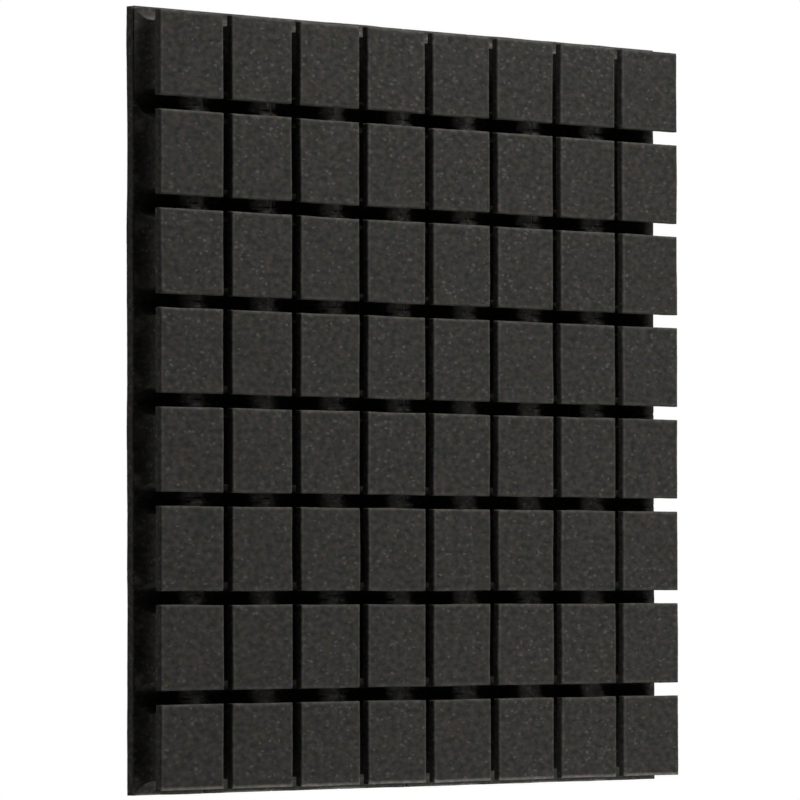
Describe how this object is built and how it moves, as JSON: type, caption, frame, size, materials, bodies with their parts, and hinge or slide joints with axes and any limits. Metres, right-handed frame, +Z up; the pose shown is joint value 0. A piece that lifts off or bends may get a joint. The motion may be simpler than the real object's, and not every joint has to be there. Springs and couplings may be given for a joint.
{
  "type": "acoustic foam panel",
  "caption": "Square charcoal foam wall tile: a thin flat sheet with a grid of square blocks, parted by narrow slots that open into wide round-floored channels.",
  "frame": {"origin": "centre of the flat back, on the plane of the wall that it is glued to", "axes": "+X to the right seen from the front, +Y back into the wall, +Z up; the blocks face -Y"},
  "size_m": [0.598, 0.0355, 0.598],
  "materials": {
    "charcoal_foam": "open-cell polyurethane foam, dark charcoal grey, dead matt, with a fine speckle of cut cells"
  },
  "bodies": {
    "root": {"backing_sheet": "charcoal_foam", "blocks_row_1_columns_1_2": "charcoal_foam", "blocks_row_1_columns_3_4": "charcoal_foam", "blocks_row_1_columns_5_6": "charcoal_foam", "blocks_row_1_columns_7_8": "charcoal_foam", "blocks_row_2_columns_1_2": "charcoal_foam", "blocks_row_2_columns_3_4": "charcoal_foam", "blocks_row_2_columns_5_6": "charcoal_foam", "blocks_row_2_columns_7_8": "charcoal_foam", "blocks_row_3_columns_1_2": "charcoal_foam", "blocks_row_3_columns_3_4": "charcoal_foam", "blocks_row_3_columns_5_6": "charcoal_foam", "blocks_row_3_columns_7_8": "charcoal_foam", "blocks_row_4_columns_1_2": "charcoal_foam", "blocks_row_4_columns_3_4": "charcoal_foam", "blocks_row_4_columns_5_6": "charcoal_foam", "blocks_row_4_columns_7_8": "charcoal_foam", "blocks_row_5_columns_1_2": "charcoal_foam", "blocks_row_5_columns_3_4": "charcoal_foam", "blocks_row_5_columns_5_6": "charcoal_foam", "blocks_row_5_columns_7_8": "charcoal_foam", "blocks_row_6_columns_1_2": "charcoal_foam", "blocks_row_6_columns_3_4": "charcoal_foam", "blocks_row_6_columns_5_6": "charcoal_foam", "blocks_row_6_columns_7_8": "charcoal_foam", "blocks_row_7_columns_1_2": "charcoal_foam", "blocks_row_7_columns_3_4": "charcoal_foam", "blocks_row_7_columns_5_6": "charcoal_foam", "blocks_row_7_columns_7_8": "charcoal_foam", "blocks_row_8_columns_1_2": "charcoal_foam", "blocks_row_8_columns_3_4": "charcoal_foam", "blocks_row_8_columns_5_6": "charcoal_foam", "blocks_row_8_columns_7_8": "charcoal_foam"}
  },
  "joints": []
}
